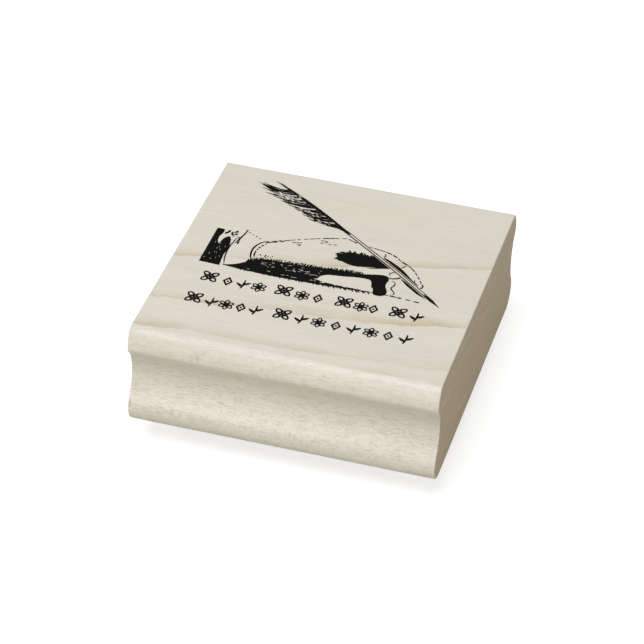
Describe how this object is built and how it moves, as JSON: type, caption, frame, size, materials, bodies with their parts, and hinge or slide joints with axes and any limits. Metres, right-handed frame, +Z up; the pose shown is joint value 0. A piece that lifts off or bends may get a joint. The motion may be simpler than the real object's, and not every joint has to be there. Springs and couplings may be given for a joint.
{
  "type": "rubber stamp",
  "caption": "Wood-mounted art stamp: a moulded maple block printed with its picture on top, and a foam cushion and raised rubber die glued beneath to print from an ink pad.",
  "frame": {"origin": "middle of the block's footprint, on the plane of the rubber's printing face", "axes": "+Z up out of the block's printed top, +Y towards the back along the picture's height, +X to the right along the block's moulded sides"},
  "size_m": [0.0636, 0.0674, 0.0291],
  "materials": {
    "maple": "sanded, unfinished",
    "index_ink": "matt black ink",
    "adhesive": "thin translucent film",
    "foam": "fine closed-cell foam",
    "die_rubber": "matt red rubber"
  },
  "bodies": {
    "root": {"wood_block": "maple", "index_print_picture": "index_ink", "index_print_upper_row": "index_ink", "index_print_lower_row": "index_ink", "mounting_adhesive": "adhesive", "foam_cushion": "foam", "die_adhesive": "adhesive", "rubber_die": "die_rubber"}
  },
  "joints": []
}
